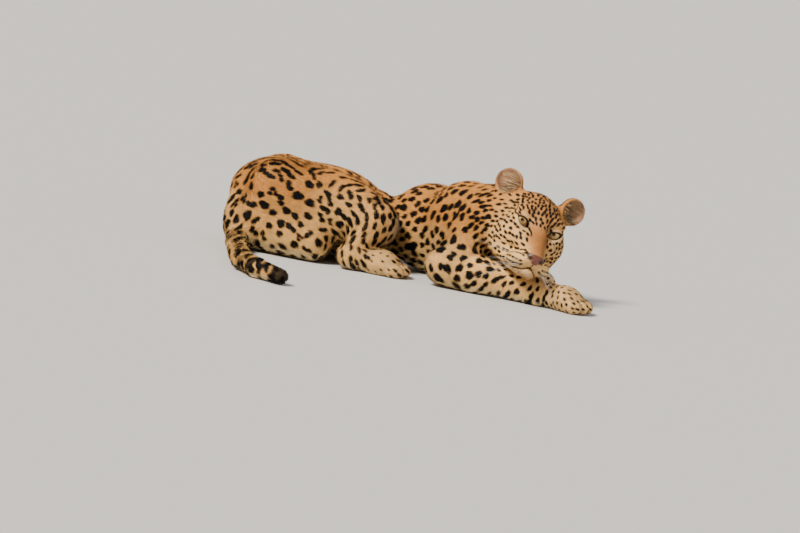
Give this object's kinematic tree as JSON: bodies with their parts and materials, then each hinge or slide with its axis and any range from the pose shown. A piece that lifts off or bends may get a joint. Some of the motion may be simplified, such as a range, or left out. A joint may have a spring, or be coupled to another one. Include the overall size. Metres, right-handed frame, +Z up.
{
  "type": "leopard model",
  "caption": "Life-size still model of a resting leopard, lying on its chest with its head turned, chin on a forearm and tail laid out on the floor.",
  "frame": {"origin": "centre of the outline in plan, on the floor it lies on", "axes": "+Z up, +X from the rump towards the head, -Y the side that the face and the near flank are turned to"},
  "size_m": [0.7923, 0.8007, 0.2655],
  "materials": {
    "coat": "short dense orange-tan fur with black spots and rosettes",
    "pale_coat": "softer cream fur with dark spots",
    "eye": "wet glossy eyeball, pale grey-amber iris, round dark pupil",
    "nose": "bare pebbled skin, brownish pink with darker edges",
    "whisker": "stiff white whiskers"
  },
  "bodies": {
    "root": {"foreleg_right_upper": "coat", "foreleg_right_lower": "coat", "foreleg_right_paw": "coat", "hindleg_right_thigh": "coat", "hindleg_right_shank": "coat", "hindleg_right_paw": "coat", "ear_right": "coat", "eye_right": "eye", "foreleg_left_upper": "coat", "foreleg_left_lower": "coat", "foreleg_left_paw": "coat", "hindleg_left_thigh": "coat", "hindleg_left_shank": "coat", "hindleg_left_paw": "coat", "ear_left": "coat", "eye_left": "eye", "nose": "nose", "jaw": "pale_coat", "head": "coat", "neck": "coat", "chest": "coat", "abdomen": "pale_coat", "pelvis": "coat", "tail_base": "coat", "tail_middle": "coat", "tail_tip": "coat"}
  },
  "joints": []
}
